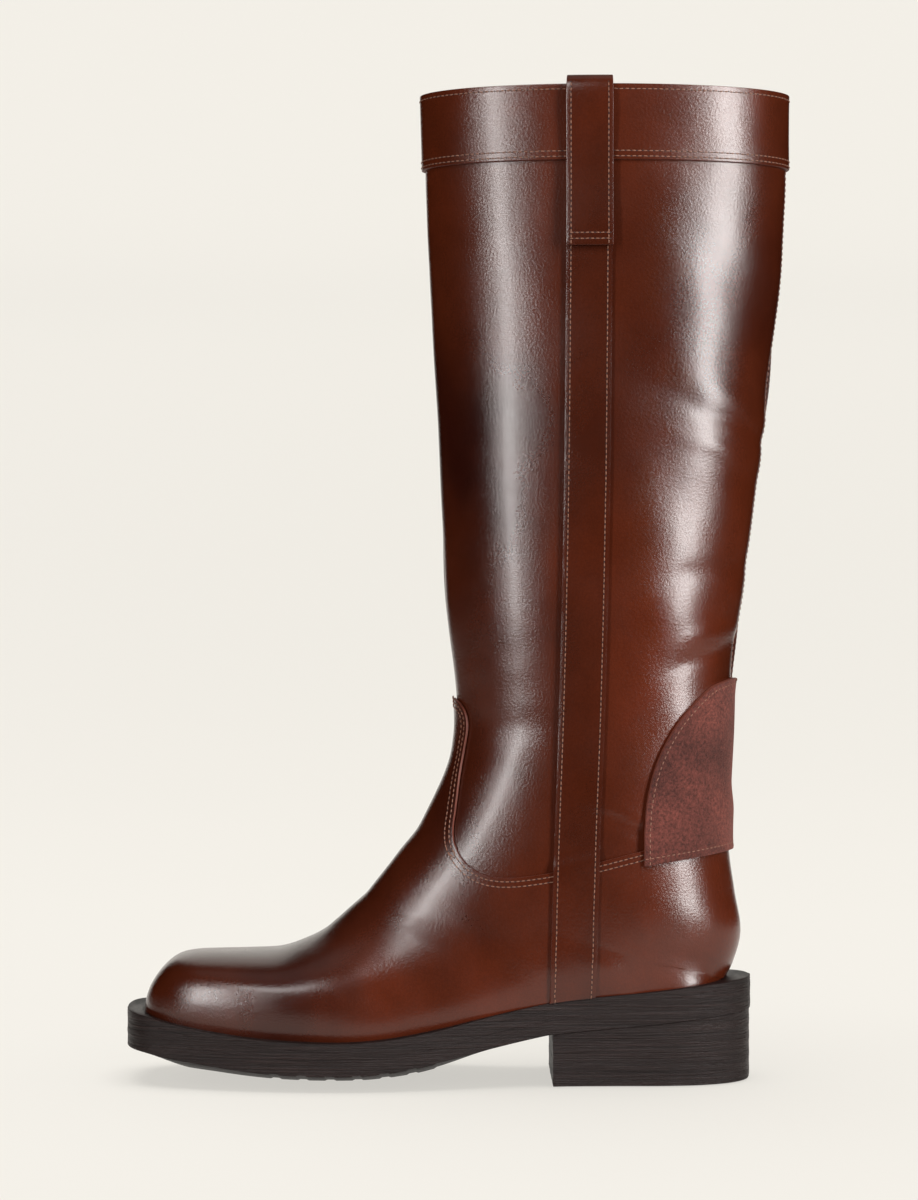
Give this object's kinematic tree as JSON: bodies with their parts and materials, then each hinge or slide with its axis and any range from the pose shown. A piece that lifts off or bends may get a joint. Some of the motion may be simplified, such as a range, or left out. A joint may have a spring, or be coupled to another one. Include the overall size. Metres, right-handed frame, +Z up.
{
  "type": "riding boot",
  "caption": "Tall pull-on leather riding boot, left foot, with a collar band, side straps, pull loops, a spur rest and a low stacked heel.",
  "frame": {"origin": "on the ground, under the middle of the overall box", "axes": "+Z up along the shaft, -X towards the toe, -Y towards the outer side of the foot"},
  "size_m": [0.297, 0.1001, 0.444],
  "materials": {
    "leather": "glossy pull-up leather, red brown with dark shading",
    "roughout": "rough side out, brick red nap",
    "lining": "matt lining leather",
    "board": "pressed fibre board",
    "drill": "cotton drill backing",
    "stiffener": "moulded fibre stiffener",
    "cork": "pressed cork filler",
    "sole_leather": "dark stained edge with fine lines",
    "stack": "stacked heel, dark stained, fine lines",
    "rubber": "black brown moulded rubber",
    "steel": "plain spring steel"
  },
  "bodies": {
    "foot": {"vamp": "leather", "vamp_backing": "drill", "vamp_lining": "lining", "toe_puff": "stiffener", "heel_foxing": "leather", "heel_counter": "stiffener", "heel_lining": "lining", "insole_board": "board", "sock_liner": "lining", "shank": "steel", "cork_filler": "cork", "welt": "sole_leather", "midsole": "sole_leather", "outsole": "rubber", "heel_wedge": "stack", "heel_lift_1": "stack", "heel_lift_2": "stack", "heel_lift_3": "stack", "top_lift": "rubber", "heel_nail_1": "steel", "heel_nail_2": "steel", "heel_nail_3": "steel", "heel_nail_4": "steel", "heel_nail_5": "steel"},
    "shaft": {"shaft_front": "leather", "shaft_back_outer": "leather", "shaft_back_inner": "leather", "shaft_lining": "lining", "collar_band": "leather", "side_strap_outer": "leather", "side_strap_inner": "leather", "pull_loop_outer": "leather", "pull_loop_inner": "leather", "spur_rest": "roughout"}
  },
  "joints": [
    {"name": "ankle_flex", "type": "hinge", "parent": "foot", "child": "shaft", "pos_m": [0.06, 0, 0.14], "axis": [0, -1, 0], "range_deg": [-8, 14], "stiffness_Nm_per_rad": 9, "deforming": ["vamp", "vamp_backing", "vamp_lining", "heel_foxing", "heel_lining", "heel_counter", "shaft_front", "shaft_back_outer", "shaft_back_inner", "shaft_lining", "side_strap_outer", "side_strap_inner", "spur_rest"]}
  ]
}
